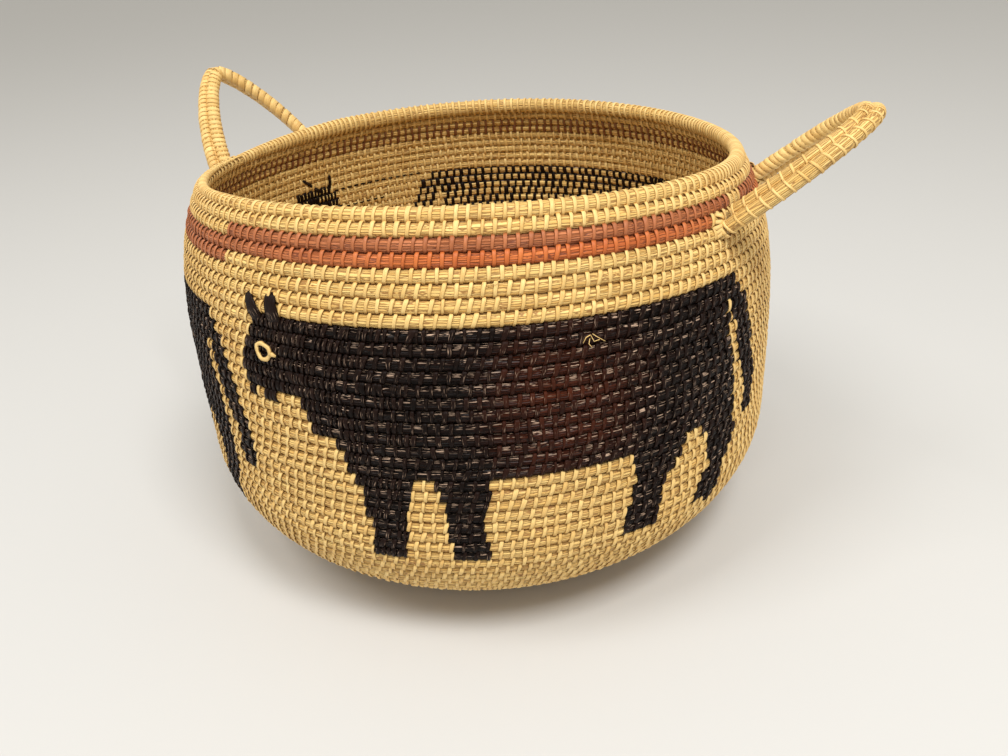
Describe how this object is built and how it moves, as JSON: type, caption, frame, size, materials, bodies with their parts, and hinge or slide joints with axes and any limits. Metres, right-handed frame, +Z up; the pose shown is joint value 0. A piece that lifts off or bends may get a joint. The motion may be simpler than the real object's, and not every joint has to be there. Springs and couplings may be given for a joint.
{
  "type": "coiled basket",
  "caption": "Round-bellied coiled grass basket with a wide open mouth, stiff loop handles at the rim, a dyed band and plain cattle figures worked in dark strip.",
  "frame": {"origin": "middle of the flat underside, on the surface that the basket stands on", "axes": "+Z up through the mouth, +X towards the handle on the picture's right, +Y to complete a right-handed frame"},
  "size_m": [0.4208, 0.338, 0.2573],
  "materials": {
    "pale_coil": "matt dry grass sewn with satin palm strips",
    "figured_coil": "pale grass overlaid in the figures with dark-dyed satin strips",
    "terracotta_coil": "terracotta-dyed satin strips",
    "rim_binding": "close satin palm-strip wrapping",
    "handle_binding": "close satin palm-strip wrapping",
    "dark_strip": "dark-dyed strip with a soft gloss",
    "pale_strip": "pale satin palm strip"
  },
  "bodies": {
    "root": {"start_knot": "pale_coil", "base_coil": "pale_coil", "heel_coil": "pale_coil", "bowl_coil": "pale_coil", "foot_coil": "pale_coil", "leg_band_coil": "pale_coil", "flank_band_coil": "figured_coil", "back_band_coil": "figured_coil", "shoulder_coil": "pale_coil", "terracotta_band_coil": "terracotta_coil", "neck_coil": "pale_coil", "rim_coil": "rim_binding", "right_handle_upper_bundle": "handle_binding", "right_handle_lower_bundle": "handle_binding", "right_handle_lashing_a": "handle_binding", "right_handle_lashing_b": "handle_binding", "left_handle_upper_bundle": "handle_binding", "left_handle_lower_bundle": "handle_binding", "left_handle_lashing_a": "handle_binding", "left_handle_lashing_b": "handle_binding", "figure_1_front_ear_strip": "dark_strip", "figure_1_rear_ear_strip": "dark_strip", "figure_1_eye_ring": "pale_strip", "figure_2_front_ear_strip": "dark_strip", "figure_2_rear_ear_strip": "dark_strip", "figure_2_eye_ring": "pale_strip", "figure_3_front_ear_strip": "dark_strip", "figure_3_rear_ear_strip": "dark_strip", "figure_3_eye_ring": "pale_strip"}
  },
  "joints": []
}
